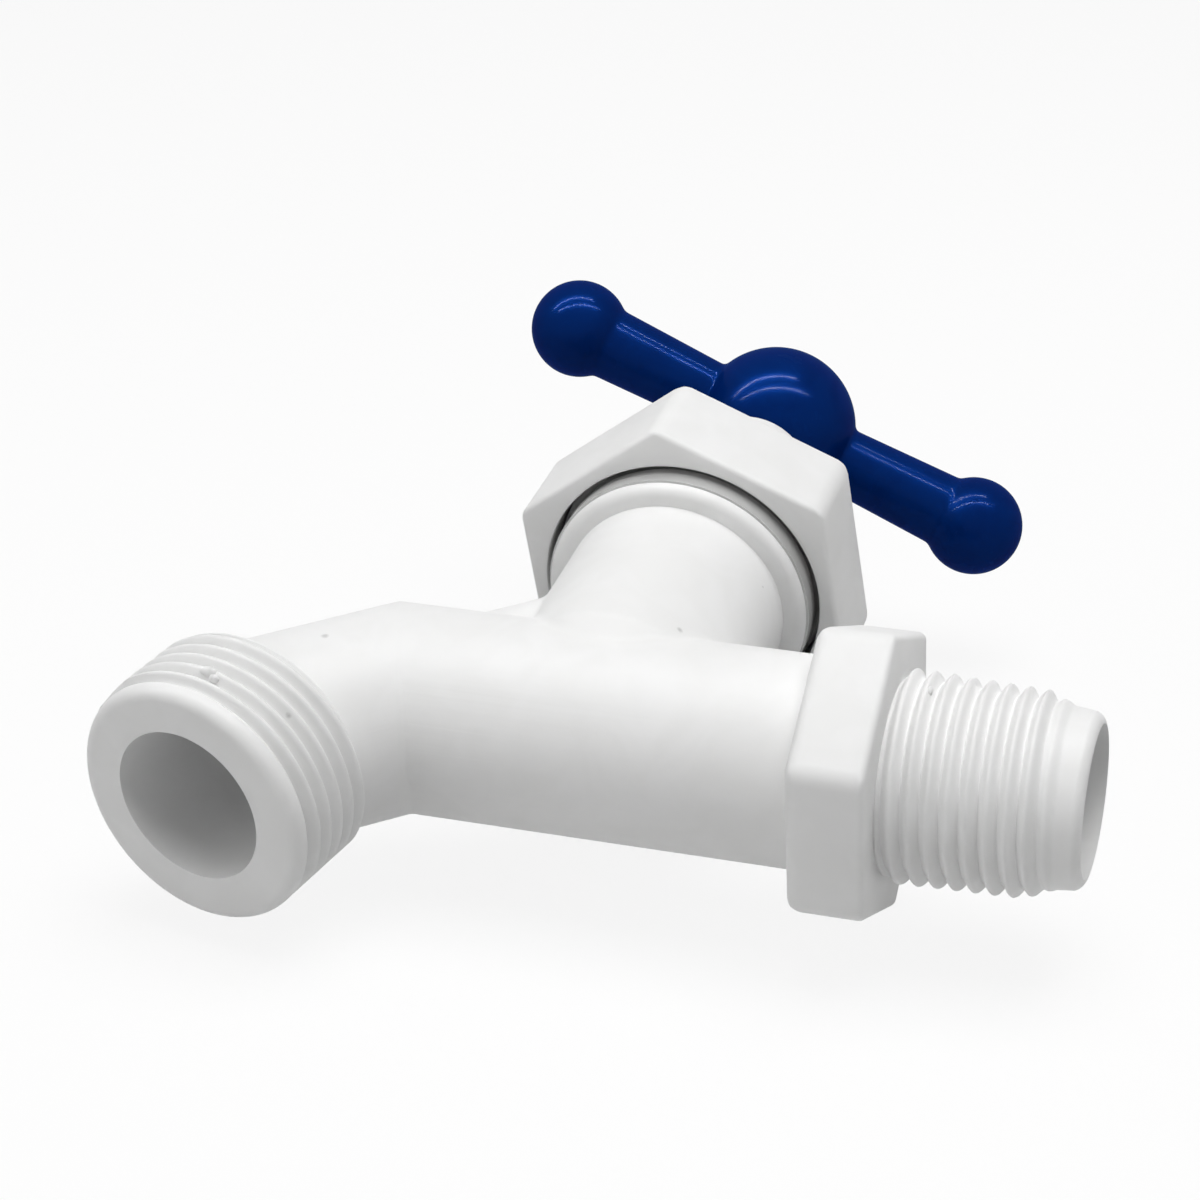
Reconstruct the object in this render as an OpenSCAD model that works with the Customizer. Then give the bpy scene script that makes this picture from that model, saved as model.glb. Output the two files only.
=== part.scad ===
// Plastic garden tap: a horizontal tube with a tapered male inlet, a spout that bends down
// to a male hose outlet, and a screw-down valve under a hexagonal cap nut and a T-handle.
// The tube lies along X with water entering at the left, and the valve stands along Z.
// The origin is the centre of the hexagon's inlet side, where the inlet thread begins.

/* [Inlet] */
// Length of the tapered inlet thread
inlet_len = 19; // [14:0.5:26]
// Outer diameter of the inlet thread halfway along
inlet_thread_d = 20.6; // [19.6:0.1:23]
// Pitch of all pipe threads
pipe_pitch = 1.814; // [1.4:0.002:2.2]
// Height of a pipe thread's ridge
pipe_ridge = 1.1; // [0.7:0.05:1.2]
// Bore of the inlet and tube
inlet_bore_d = 14.8; // [10:0.1:15.4]
// Width across the flats of the tube's hexagon
hexagon_flats = 27; // [25:0.5:34]
// Thickness of the tube's hexagon
hexagon_t = 7.6; // [5:0.1:10]

/* [Tube and spout] */
// Outside diameter of the tube
tube_d = 20.8; // [20:0.1:23]
// Distance from the origin to the valve's axis
valve_x = 29.5; // [27:0.5:40]
// Distance from the valve's axis to the first bend
bend_x = 20.5; // [17:0.5:26]
// Slope of the spout between its two bends, below the tube
spout_slope = 40; // [35:1:48]
// Length of the spout between its two bends
spout_run = 15; // [13:0.5:20]
// Bore of the spout between its two bends
spout_bore_d = 14.2; // [10:0.1:15]
// Outside diameter of the sloping shoulder between the valve and the spout
shoulder_d = 14.6; // [13:0.1:18]

/* [Outlet] */
// Slope of the outlet, below the tube
outlet_slope = 77; // [70:1:90]
// Length of the outlet from the second bend to its face
outlet_len = 12; // [11:0.5:18]
// Outer diameter of the outlet thread
outlet_thread_d = 26.44; // [25:0.02:30]
// Length of the threaded part of the outlet
outlet_thread_len = 11.8; // [9:0.1:12]
// Bore of the outlet
outlet_bore_d = 16.2; // [14.5:0.1:17]

/* [Neck and seat] */
// Outside diameter of the neck below the cap nut
neck_d = 23.6; // [22:0.1:25.6]
// Height of the neck's shoulder above the tube's axis
shoulder_z = 26.5; // [24:0.1:30]
// Outer diameter of the neck's thread
neck_thread_d = 30; // [29:0.1:32]
// Length of the neck above its shoulder
rim_h = 6.5; // [5.6:0.1:9]
// Bore of the valve chamber
chamber_d = 19.2; // [17.6:0.1:21]
// Height of the seat above the tube's axis
seat_z = 10; // [9.6:0.1:12]
// Bore of the seat
seat_d = 10; // [7:0.1:11]

/* [Cap nut and bonnet] */
// Width across the flats of the cap nut
nut_flats = 33.2; // [32.4:0.1:38]
// Height of the cap nut
nut_h = 11.4; // [10:0.1:14]
// Gap that shows between the shoulder and the cap nut
nut_gap = 1.3; // [0.5:0.1:2]
// Turn of the cap nut about the valve's axis
nut_turn = 23; // [0:1:59]
// Thickness of the cap nut's top
nut_top_t = 2.2; // [1.5:0.1:2.6]
// Thickness of the gasket under the bonnet's flange
gasket_t = 1.3; // [0.8:0.1:1.6]
// Diameter of the bonnet's lower tower
tower_d = 17.4; // [15:0.1:18.4]
// Diameter of the bonnet's upper tower, round the seals
tower_top_d = 13.4; // [12.6:0.1:14.6]
// Gap between the top of the bonnet and the handle's middle ball
tower_gap = 0.5; // [0.4:0.1:2]
// Depth of the seal recess in the top of the bonnet
recess_h = 6.6; // [6:0.1:8]

/* [Stem and valve] */
// Pitch of the stem's thread
stem_pitch = 2.5; // [2:0.1:3]
// Outer diameter of the stem's thread
stem_thread_d = 10.8; // [10.2:0.1:11.6]
// Height of the ridge of the stem's thread
stem_ridge = 0.9; // [0.5:0.05:1]
// Diameter of the stem's smooth shank through the seals
shank_d = 6.4; // [6:0.1:7]
// Full turns of the handle from shut to open
open_turns = 2.25; // [1:0.25:2.25]
// Thickness of the rubber seat washer
washer_t = 2.5; // [2:0.1:3]
// Diameter of the disc that carries the seat washer
disc_d = 14.4; // [13.2:0.1:15]
// Diameter of the pin on top of the disc
pin_d = 4.6; // [4:0.1:5.4]
// Section of each ring seal
seal_t = 1.7; // [1.4:0.1:1.8]

/* [Handle] */
// Height of the handle's arms above the tube's axis
handle_z = 66.1; // [65:0.1:72]
// Diameter of the ball at the middle of the handle
hub_d = 18.4; // [17:0.1:20]
// Distance between the centres of the two end balls
grip_span = 50.8; // [44:0.2:64]
// Diameter of each end ball
grip_d = 11.2; // [9.4:0.1:14]
// Diameter of an arm where it leaves the middle ball
arm_root_d = 7; // [6:0.1:8.4]
// Diameter of an arm where it meets its end ball
arm_tip_d = 8.6; // [7:0.1:9]
// Turn of the handle about the valve's axis when shut
handle_turn = 23.5; // [0:0.5:180]
// Width of the square on the stem's head
square_w = 4.4; // [3.8:0.1:4.4]

/* [Hidden] */
$fn = 64;
white = [0.93, 0.93, 0.92];
rubber = [0.13, 0.13, 0.14];
blue = [0.01, 0.15, 0.38];
brass = [0.78, 0.62, 0.32];
steel = [0.75, 0.76, 0.78];
eps = 0.5;                 // how far a cut runs past the face it opens
seat_gap = 0.05;           // gap between two faces that touch
run_gap = 0.05;            // radial gap of a running fit
slip_gap = 0.1;            // radial gap of a loose fit
taper = 1 / 32;            // radius lost along a tapered pipe thread, per length
fine = 36;                 // segments of a thread's turn

// Neck, cap nut and bonnet, stacked upwards
hub_low_z = handle_z - hub_d / 2;
tower_z = hub_low_z - tower_gap;
neck_core_r = neck_thread_d / 2 - pipe_ridge;
neck_root_h = 3.6;         // height over which the neck narrows into the tube
neck_root_in = 0.4;        // how much narrower than the tube the neck's foot is
shoulder_r = neck_core_r + 0.06;
shoulder_h = 2.1;
shoulder_fillet = 0.9;
shoulder_edge = 0.35;
shoulder_land = 0.4;
rim_z = shoulder_z + rim_h;
nut_z = shoulder_z + nut_gap;
nut_top_z = nut_z + nut_h;
nut_round = 1.3;           // rounding of the nut's corners and top edge
mouth_bevel = 0.3;
flange_z = rim_z + gasket_t + 2 * seat_gap;
flange_top_z = nut_top_z - nut_top_t - seat_gap;
flange_r = neck_thread_d / 2 - 1;
plug_h = 3;
plug_z = flange_z - plug_h;
recess_z = tower_z - recess_h;
recess_r = shank_d / 2 + seal_t + 2 * run_gap;
recess_floor_t = 3;
tower_taper_h = 2;
taper_z = recess_z - tower_taper_h;
tower_bevel = 0.5;
screw_bore_z = recess_z - recess_floor_t;
bush_z = recess_z + 2 * seal_t + 4 * seat_gap;

// Valve, stacked upwards from the seat
lift = open_turns * stem_pitch;
washer_z = seat_z + seat_gap;
disc_z = washer_z + washer_t + seat_gap;
disc_t = 2.4;
disc_lip = 0.7;
disc_lip_h = 1.4;
pin_h = 9;
stem_z = disc_z + disc_t + seat_gap;
stem_foot_r = 6.4;
stem_foot_h = 2;
stem_core_r = stem_thread_d / 2 - stem_ridge;
stem_relief = 0.3;         // how much thinner the stem is below its thread
thread_room = 0.4;         // what is left above the stem's thread when it is fully open
thread_top_z = screw_bore_z - lift - thread_room;
thread_drop = 4;           // how far the stem's thread reaches below the bonnet when shut
thread_low_z = plug_z - thread_drop;
washer_screw_r = 1.25;
washer_screw_bite = 2.6;   // how far the washer's screw reaches into the disc
washer_screw_len = washer_t + washer_screw_bite;
washer_screw_head_r = 2.7;
washer_screw_head_h = 1.3;

// Handle and its screw
hub_mouth_h = 1;
head_low_z = hub_low_z + hub_mouth_h;
head_top_z = handle_z - 0.4;
head_room = 0.3;           // what is left above the stem's head in its socket
head_web_t = 4;            // what the handle's screw clamps above the stem's head
head_seat_z = head_top_z + head_web_t;
screw_r = 1.4;
screw_head_r = 3;
screw_head_h = 1.8;
screw_len = 9;

// Tube, spout and outlet, in the plane of the tube and the valve
tube_r = tube_d / 2;
hexagon_edge = 0.6;        // rounding of the hexagon's corners beside the thread
hexagon_round = 1.3;       // rounding of the hexagon's edges beside the tube
inlet_tip = 0.6;           // how much is taken off the inlet's open end
inlet_blind = 1;           // how far the inlet bore stops short of the seat's far edge
spout_way = [cos(spout_slope), 0, -sin(spout_slope)];
outlet_way = [cos(outlet_slope), 0, -sin(outlet_slope)];
bend1 = [valve_x + bend_x, 0, 0];
bend2 = bend1 + spout_run * spout_way;
outlet_face = bend2 + outlet_len * outlet_way;
outlet_root_r = outlet_thread_d / 2 - pipe_ridge;
outlet_rim_h = 1.9;
outlet_rim_round = 1;
outlet_rim_r = outlet_thread_d / 2 - 0.25;
outlet_core_z = 1.2;       // where the thread's core starts inside the rim
slope_start = 3;           // where the spout's slope begins, beyond the valve's axis
slope_len = (bend_x - slope_start) / cos(spout_slope);
elbow_out = 0.1;           // how much thicker than the tube the second bend is
passage_wall = 2.1;
passage_r = shoulder_d / 2 - passage_wall;
seat_wall = 1.8;

// One turn of a thread has four corners: where along the pitch, and how much of the ridge
ridge_at = [0, 0.32, 0.52, 0.84];
ridge_up = [0, 1, 1, 0];

// Share of the ridge's full height at step u of n, which rises and dies at the two ends
function ridge_share(u, n, grow, fade) = max(0, min(1, u / grow, (n - u) / fade));

// A solid screw along Z that stands on z = 0, with plain flat ends.
// root is the radius of the core at z = 0, and slim is the radius lost per length.
// grow and fade are the turns over which the ridge rises at its start and dies at its end.
module screw_core(root, ridge, pitch, length, start, finish, grow, fade, slim = 0, tip = 0) {
    steps = fine;
    turns = max(2, floor((length - start - finish) / pitch - ridge_at[3]));
    n = turns * steps;
    rings = (n + 1) * 4;
    function rad(z) = root - slim * z;
    function share(u) = ridge_share(u, n, grow * steps, fade * steps);
    function corner(u, j) = let(z = start + pitch * (u / steps + ridge_at[j]),
                                r = rad(z) + ridge * ridge_up[j] * share(u),
                                a = 360 * u / steps) [r * cos(a), r * sin(a), z];
    function low(i) = rings + i % steps;
    function high(i) = rings + steps + i % steps;
    function at(u, j) = 4 * u + j;
    points = concat(
        [for (u = [0:n], j = [0:3]) corner(u, j)],
        [for (i = [0:steps - 1]) [rad(0) * cos(360 * i / steps), rad(0) * sin(360 * i / steps), 0]],
        [for (i = [0:steps - 1]) let(r = rad(length) - tip)
            [r * cos(360 * i / steps), r * sin(360 * i / steps), length]]);
    ridge_faces = [for (u = [0:n - 1], j = [0:2]) each [
        [at(u, j), at(u, j + 1), at(u + 1, j + 1)],
        [at(u, j), at(u + 1, j + 1), at(u + 1, j)]]];
    valley_faces = [for (u = [0:n - steps - 1]) each [
        [at(u, 3), at(u + steps, 0), at(u + 1 + steps, 0)],
        [at(u, 3), at(u + 1 + steps, 0), at(u + 1, 3)]]];
    low_faces = [for (i = [0:steps - 2]) each [
        [low(i), at(i, 0), at(i + 1, 0)],
        [low(i), at(i + 1, 0), low(i + 1)]]];
    high_faces = [for (i = [1:steps - 1]) each [
        [at(n - steps + i, 3), high(i), high(i + 1)],
        [at(n - steps + i, 3), high(i + 1), at(n - steps + i + 1, 3)]]];
    q = at(steps - 1, 0);
    low_seam = [[q, low(0), low(steps - 1)], [q, at(0, 0), low(0)], [q, at(0, 1), at(0, 0)],
        [q, at(0, 2), at(0, 1)], [q, at(0, 3), at(0, 2)], [q, at(steps, 0), at(0, 3)]];
    p = at(n - steps + 1, 3);
    high_seam = [[p, high(0), high(1)], [p, at(n, 3), high(0)], [p, at(n, 2), at(n, 3)],
        [p, at(n, 1), at(n, 2)], [p, at(n, 0), at(n, 1)], [p, at(n - steps, 3), at(n, 0)]];
    ends = [[for (i = [0:steps - 1]) low(i)], [for (i = [steps - 1:-1:0]) high(i)]];
    polyhedron(points, concat(ridge_faces, valley_faces, low_faces, high_faces,
                              low_seam, high_seam, ends), convexity = 10);
}

// Lays a shape made along Z so that it points along the spout at a slope below the tube
module aim(from, slope) { translate(from) rotate([0, 90 + slope, 0]) children(); }

// A hexagonal block along Z whose corners are rounded, all round its top edge too
module hexagon_block(flats, h, low_round, top_round) {
    hull() for (i = [0:5]) rotate([0, 0, 60 * i]) {
        translate([(flats / 2 - low_round) / cos(30), 0, 0])
            cylinder(r = low_round, h = h - top_round, $fn = 32);
        translate([(flats / 2 - top_round) / cos(30), 0, h - top_round])
            sphere(r = top_round, $fn = 32);
    }
}

// The half of space before (-1) or after (1) the plane that halves the first bend
module mitre_side(side) {
    big = 80;
    aim(bend1, spout_slope / 2) translate([-big / 2, -big / 2, side > 0 ? 0 : -big]) cube(big);
}

// The tube's hexagon, whose top and bottom flats are square to the valve
module tube_hexagon() {
    rotate([0, 90, 0]) rotate([0, 0, 90])
        hexagon_block(hexagon_flats, hexagon_t, hexagon_edge, hexagon_round);
}

// The straight tube and the run between the bends, mitred together
module tube_and_spout() {
    rotate([0, 90, 0]) cylinder(r = tube_r, h = valve_x);
    intersection() {
        translate([valve_x, 0, 0]) rotate([0, 90, 0]) cylinder(r = tube_r, h = bend_x + tube_r);
        mitre_side(-1);
    }
    intersection() {
        aim(bend1 - tube_r * spout_way, spout_slope) cylinder(r = tube_r, h = spout_run + tube_r);
        mitre_side(1);
    }
    translate(bend2) sphere(r = tube_r + elbow_out);
}

// The sloping shoulder that carries water from beside the seat down to the first bend
module sloping_shoulder() {
    aim(bend1 - slope_len * spout_way, spout_slope) cylinder(d = shoulder_d, h = slope_len);
}

// Points of an arc round a centre, from one angle to another
function arc(centre, r, from, to, steps = 6) = [for (i = [0:steps])
    let(a = from + (to - from) * i / steps) centre + r * [cos(a), sin(a)]];

// The neck with its narrowed foot, its flared shoulder and its thread
module neck() {
    outline = concat([[0, 0], [tube_r - neck_root_in, 0], [neck_d / 2, neck_root_h]],
        arc([neck_d / 2 + shoulder_fillet, shoulder_z - shoulder_h], shoulder_fillet, 180, 120),
        arc([shoulder_r - shoulder_edge, shoulder_z], shoulder_edge, -60, 0, 3),
        [[shoulder_r, shoulder_z + shoulder_land], [0, shoulder_z + shoulder_land]]);
    translate([valve_x, 0, 0]) rotate_extrude() polygon(outline);
    translate([valve_x, 0, shoulder_z])
        screw_core(neck_core_r, pipe_ridge, pipe_pitch, rim_h, 0.6, 0.2, 0.25, 0.25);
}

// The inlet thread, which gets thinner towards its open end
module inlet_spigot() {
    rotate([0, -90, 0]) translate([0, 0, -eps])
        screw_core(inlet_thread_d / 2 - pipe_ridge + taper * (inlet_len / 2 + eps), pipe_ridge,
                   pipe_pitch, inlet_len + eps, eps + 0.1, 0.7, 0.15, 0.9, taper, inlet_tip);
}

// The outlet thread and the round-edged rim that a hose washer seats on
module outlet_spigot() {
    round_r = outlet_rim_r - outlet_rim_round;
    aim(outlet_face, outlet_slope) rotate([180, 0, 0]) {
        translate([0, 0, outlet_core_z])
            screw_core(outlet_root_r, pipe_ridge, pipe_pitch, outlet_thread_len - outlet_core_z,
                       outlet_rim_h + 0.1 - outlet_core_z, 0.2, 0.2, 0.3);
        rotate_extrude() {
            translate([0, outlet_rim_round]) square([outlet_rim_r, outlet_rim_h - outlet_rim_round]);
            square([round_r, outlet_rim_h]);
            translate([round_r, outlet_rim_round]) circle(r = outlet_rim_round);
        }
    }
}

module faucet_body() {
    color(white) difference() {
        union() {
            difference() {
                union() {
                    tube_hexagon();
                    tube_and_spout();
                    sloping_shoulder();
                    neck();
                    inlet_spigot();
                    outlet_spigot();
                }
                // chamber over the seat
                translate([valve_x, 0, seat_z]) cylinder(d = chamber_d, h = rim_z - seat_z + eps);
                // passage from the chamber to the first bend, and the wider bore beyond it
                aim(bend2, spout_slope) rotate([180, 0, 0]) {
                    cylinder(r = passage_r, h = spout_run + slope_len);
                    cylinder(d = spout_bore_d, h = spout_run);
                }
            }
            // raised seat and the wall under it
            translate([valve_x, 0, 0]) cylinder(r = seat_d / 2 + seat_wall, h = seat_z);
        }
        // inlet bore, blind under the valve
        translate([-inlet_len - eps, 0, 0]) rotate([0, 90, 0])
            cylinder(d = inlet_bore_d, h = inlet_len + eps + valve_x + seat_d / 2 - inlet_blind);
        // bore of the seat
        translate([valve_x, 0, 0]) cylinder(d = seat_d, h = seat_z + eps);
        // outlet bore and the round corner where it meets the passage
        aim(bend2, outlet_slope) cylinder(d = outlet_bore_d, h = outlet_len + eps);
        translate(bend2) sphere(d = outlet_bore_d);
    }
}

// A ring about the valve's axis from height low to height high
module ring(inner_r, outer_r, low, high) {
    translate([valve_x, 0, low]) difference() {
        cylinder(r = outer_r, h = high - low);
        translate([0, 0, -eps]) cylinder(r = inner_r, h = high - low + 2 * eps);
    }
}

module cap_nut() {
    mouth_r = neck_thread_d / 2 + slip_gap;
    color(white) translate([valve_x, 0, nut_z]) difference() {
        rotate([0, 0, nut_turn]) hexagon_block(nut_flats, nut_h, nut_round, nut_round);
        translate([0, 0, -eps]) cylinder(r = mouth_r, h = nut_h - nut_top_t + eps);
        translate([0, 0, -eps])
            cylinder(r1 = mouth_r + mouth_bevel + eps, r2 = mouth_r, h = mouth_bevel + eps);
        translate([0, 0, -eps]) cylinder(r = tower_d / 2 + slip_gap, h = nut_h + 2 * eps);
    }
}

module bonnet() {
    plug_r = chamber_d / 2 - slip_gap;
    low_r = tower_d / 2;
    top_r = tower_top_d / 2;
    screw_bore_r = stem_thread_d / 2 + slip_gap;
    shank_bore_r = shank_d / 2 + run_gap;
    color(white) translate([valve_x, 0, 0]) rotate_extrude() polygon([
        [screw_bore_r, plug_z], [plug_r, plug_z], [plug_r, flange_z], [flange_r, flange_z],
        [flange_r, flange_top_z], [low_r, flange_top_z], [low_r, taper_z], [top_r, recess_z],
        [top_r, tower_z - tower_bevel], [top_r - tower_bevel, tower_z], [recess_r, tower_z],
        [recess_r, recess_z], [shank_bore_r, recess_z], [shank_bore_r, screw_bore_z],
        [screw_bore_r, screw_bore_z]]);
}

module bonnet_gasket() {
    color(rubber) ring(chamber_d / 2, flange_r, rim_z + seat_gap, rim_z + seat_gap + gasket_t);
}

module stem_seals() {
    color(rubber) for (i = [0, 1])
        translate([valve_x, 0, recess_z + seat_gap + (i + 0.5) * seal_t + i * seat_gap])
            rotate_extrude() translate([shank_d / 2 + run_gap + seal_t / 2, 0]) circle(d = seal_t);
}

module gland_bush() {
    color(white) ring(shank_d / 2 + run_gap, recess_r - run_gap, bush_z, tower_z);
}

module stem() {
    color(white) translate([valve_x, 0, 0]) difference() {
        union() {
            translate([0, 0, stem_z]) cylinder(r = stem_foot_r, h = stem_foot_h);
            translate([0, 0, stem_z])
                cylinder(r = stem_core_r - stem_relief, h = thread_low_z - stem_z + eps);
            translate([0, 0, thread_low_z]) screw_core(stem_core_r, stem_ridge, stem_pitch,
                thread_top_z - thread_low_z, 0.4, 0.1, 0.4, 0.4);
            translate([0, 0, thread_top_z - eps])
                cylinder(d = shank_d, h = head_low_z - thread_top_z + eps);
            translate([-square_w / 2, -square_w / 2, head_low_z - eps])
                cube([square_w, square_w, head_top_z - head_low_z + eps]);
        }
        // socket for the valve disc's pin
        translate([0, 0, stem_z - eps]) cylinder(r = pin_d / 2 + run_gap, h = pin_h + 2 * eps);
        // hole for the handle's screw
        translate([0, 0, head_seat_z - screw_len - eps])
            cylinder(r = screw_r + run_gap, h = screw_len + 2 * eps);
    }
}

module valve_disc() {
    color(white) translate([valve_x, 0, 0]) difference() {
        union() {
            translate([0, 0, disc_z - disc_lip_h]) cylinder(d = disc_d, h = disc_lip_h + disc_t);
            translate([0, 0, disc_z]) cylinder(d = pin_d, h = disc_t + pin_h);
        }
        translate([0, 0, disc_z - disc_lip_h - eps])
            cylinder(r = disc_d / 2 - disc_lip, h = disc_lip_h + eps);
        translate([0, 0, disc_z - eps]) cylinder(r = washer_screw_r + run_gap,
            h = washer_screw_len - washer_t + 2 * eps);
    }
}

module seat_washer() {
    color(rubber) ring(washer_screw_r + slip_gap, disc_d / 2 - disc_lip - slip_gap,
                       washer_z, washer_z + washer_t);
}

// A screw whose head lies at z = 0 and whose shank points up, with a cross recess in its head
module pan_screw(shank_r, shank_len, head_r, head_h) {
    cross_w = head_r * 0.3;
    cross_len = head_r * 1.2;
    head_top_r = head_r * 0.8;
    cylinder(r = shank_r, h = shank_len);
    difference() {
        translate([0, 0, -head_h]) cylinder(r1 = head_top_r, r2 = head_r, h = head_h);
        for (turn = [0, 90]) rotate([0, 0, turn])
            translate([-cross_len / 2, -cross_w / 2, -head_h - eps])
                cube([cross_len, cross_w, head_h / 2 + eps]);
    }
}

module washer_screw() {
    color(brass) translate([valve_x, 0, washer_z - seat_gap])
        pan_screw(washer_screw_r, washer_screw_len, washer_screw_head_r, washer_screw_head_h);
}

module handle() {
    reach = grip_span / 2;
    color(blue) translate([valve_x, 0, handle_z]) rotate([0, 0, handle_turn]) difference() {
        union() {
            sphere(d = hub_d);
            for (turn = [0, 180]) rotate([0, 90, turn]) {
                cylinder(d1 = arm_root_d, d2 = arm_tip_d, h = reach);
                translate([0, 0, reach]) sphere(d = grip_d);
            }
        }
        // round mouth for the shank and square socket for the stem's head
        translate([0, 0, hub_low_z - handle_z - eps])
            cylinder(r = shank_d / 2 + slip_gap, h = head_low_z + 2 * seat_gap - hub_low_z + eps);
        translate([0, 0, (head_low_z + head_top_z) / 2 - handle_z + seat_gap])
            rotate([0, 0, -handle_turn])
                cube([square_w + 2 * run_gap, square_w + 2 * run_gap,
                      head_top_z - head_low_z + head_room], center = true);
        // hole and recess for the screw
        translate([0, 0, head_top_z - handle_z]) cylinder(r = screw_r + run_gap, h = hub_d);
        translate([0, 0, head_seat_z - handle_z]) cylinder(r = screw_head_r + 2 * slip_gap, h = hub_d);
    }
}

module handle_screw() {
    color(steel) translate([valve_x, 0, head_seat_z + seat_gap]) rotate([180, 0, 0])
        pan_screw(screw_r, screw_len, screw_head_r, screw_head_h);
}

faucet_body();
cap_nut();
bonnet();
bonnet_gasket();
stem_seals();
gland_bush();
stem();
valve_disc();
seat_washer();
washer_screw();
handle();
handle_screw();
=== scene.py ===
import math

import bpy
from mathutils import Matrix, Vector


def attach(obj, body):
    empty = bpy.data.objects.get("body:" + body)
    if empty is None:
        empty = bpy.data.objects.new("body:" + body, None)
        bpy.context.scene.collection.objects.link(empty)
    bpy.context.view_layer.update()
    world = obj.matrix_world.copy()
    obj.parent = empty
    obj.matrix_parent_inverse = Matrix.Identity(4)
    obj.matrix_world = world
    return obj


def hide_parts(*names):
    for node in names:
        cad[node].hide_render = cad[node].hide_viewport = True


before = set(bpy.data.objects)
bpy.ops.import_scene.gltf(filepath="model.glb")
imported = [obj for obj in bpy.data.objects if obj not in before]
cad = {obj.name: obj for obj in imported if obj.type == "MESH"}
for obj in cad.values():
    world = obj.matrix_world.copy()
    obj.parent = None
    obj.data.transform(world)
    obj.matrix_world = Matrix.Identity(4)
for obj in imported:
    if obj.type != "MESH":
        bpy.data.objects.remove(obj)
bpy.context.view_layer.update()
mm = 0.001


# small helpers for working as by hand

def clearSelection():
    bpy.ops.object.select_all(action="DESELECT")


def pick(piece):
    clearSelection()
    piece.select_set(True)
    bpy.context.view_layer.objects.active = piece


def settle(piece):
    # the place goes into the mesh, so the object ends at the origin
    pick(piece)
    bpy.ops.object.transform_apply(location=True, rotation=True, scale=True)


def applyModifiers(piece):
    pick(piece)
    for modifier in list(piece.modifiers):
        bpy.ops.object.modifier_apply(modifier=modifier.name)


def renamed(name):
    piece = bpy.context.object
    piece.name = name
    piece.data.name = name
    return piece


def addRod(name, radius, start, end, sides=96, endRadius=None):
    way = end - start
    turn = way.to_track_quat("Z", "Y").to_euler()
    if endRadius is None:
        bpy.ops.mesh.primitive_cylinder_add(
            vertices=sides, radius=radius, depth=way.length, location=(start + end) / 2, rotation=turn)
    else:
        bpy.ops.mesh.primitive_cone_add(
            vertices=sides, radius1=radius, radius2=endRadius, depth=way.length,
            location=(start + end) / 2, rotation=turn)
    piece = renamed(name)
    settle(piece)
    return piece


def addBall(name, radius, centre, segments=64):
    bpy.ops.mesh.primitive_uv_sphere_add(
        segments=segments, ring_count=segments // 2, radius=radius, location=centre)
    piece = renamed(name)
    settle(piece)
    return piece


def joined(name, pieces):
    clearSelection()
    for piece in pieces:
        piece.select_set(True)
    bpy.context.view_layer.objects.active = pieces[0]
    bpy.ops.object.join()
    return renamed(name)


def combine(piece, tool, how):
    # how is UNION, DIFFERENCE or INTERSECT; the tool is used up
    modifier = piece.modifiers.new("combine", "BOOLEAN")
    modifier.operation = how
    modifier.solver = "MANIFOLD"
    modifier.object = tool
    pick(piece)
    bpy.ops.object.modifier_apply(modifier=modifier.name)
    bpy.data.objects.remove(tool)


def blendTogether(piece, voxel, passes):
    # one closed skin over all the overlapping solids, with soft inner corners
    remesh = piece.modifiers.new("skin", "REMESH")
    remesh.mode = "VOXEL"
    remesh.voxel_size = voxel
    soften = piece.modifiers.new("soften", "SMOOTH")
    soften.factor = 0.5
    soften.iterations = passes
    applyModifiers(piece)


def roundEdges(piece, width, segments, weightOf):
    # weightOf(a, b) gives the share of the width for the edge between two points
    weights = piece.data.attributes.new("bevel_weight_edge", "FLOAT", "EDGE")
    for edge in piece.data.edges:
        weights.data[edge.index].value = weightOf(*(piece.data.vertices[i].co for i in edge.vertices))
    bevel = piece.modifiers.new("round", "BEVEL")
    bevel.limit_method = "WEIGHT"
    bevel.width = width
    bevel.segments = segments
    applyModifiers(piece)


def cutAt(piece, point, normal):
    # everything on the side that the normal points to is cut off, and the cut is closed
    pick(piece)
    bpy.ops.object.mode_set(mode="EDIT")
    bpy.ops.mesh.select_all(action="SELECT")
    bpy.ops.mesh.bisect(
        plane_co=point, plane_no=normal, use_fill=True, clear_outer=True, threshold=0.0001 * mm)
    bpy.ops.object.mode_set(mode="OBJECT")


def tidyNormals(piece):
    # doubles are merged first, so that the shell is whole when its faces are turned outwards
    pick(piece)
    bpy.ops.object.mode_set(mode="EDIT")
    bpy.ops.mesh.select_all(action="SELECT")
    bpy.ops.mesh.remove_doubles(threshold=0.005 * mm)
    bpy.ops.mesh.normals_make_consistent(inside=False)
    bpy.ops.object.mode_set(mode="OBJECT")


def smoothShading(piece, angle=32):
    pick(piece)
    bpy.ops.object.shade_smooth_by_angle(angle=math.radians(angle))


def placed(piece, start, way):
    # a shape made along Z from the world's origin is laid along a direction
    piece.data.transform(Matrix.Translation(start) @ way.to_track_quat("Z", "Y").to_matrix().to_4x4())
    return piece


def addTurned(name, outline, sides=96):
    # outline runs along Z as (radius, height) pairs, from the axis back to the axis
    mesh = bpy.data.meshes.new(name)
    mesh.from_pydata([(r, 0, z) for r, z in outline], [(i, i + 1) for i in range(len(outline) - 1)], [])
    piece = bpy.data.objects.new(name, mesh)
    bpy.context.scene.collection.objects.link(piece)
    pick(piece)
    bpy.ops.object.mode_set(mode="EDIT")
    bpy.ops.mesh.select_all(action="SELECT")
    bpy.ops.mesh.spin(steps=sides, angle=2 * math.pi, center=(0, 0, 0), axis=(0, 0, 1))
    bpy.ops.object.mode_set(mode="OBJECT")
    tidyNormals(piece)
    return piece


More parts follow.
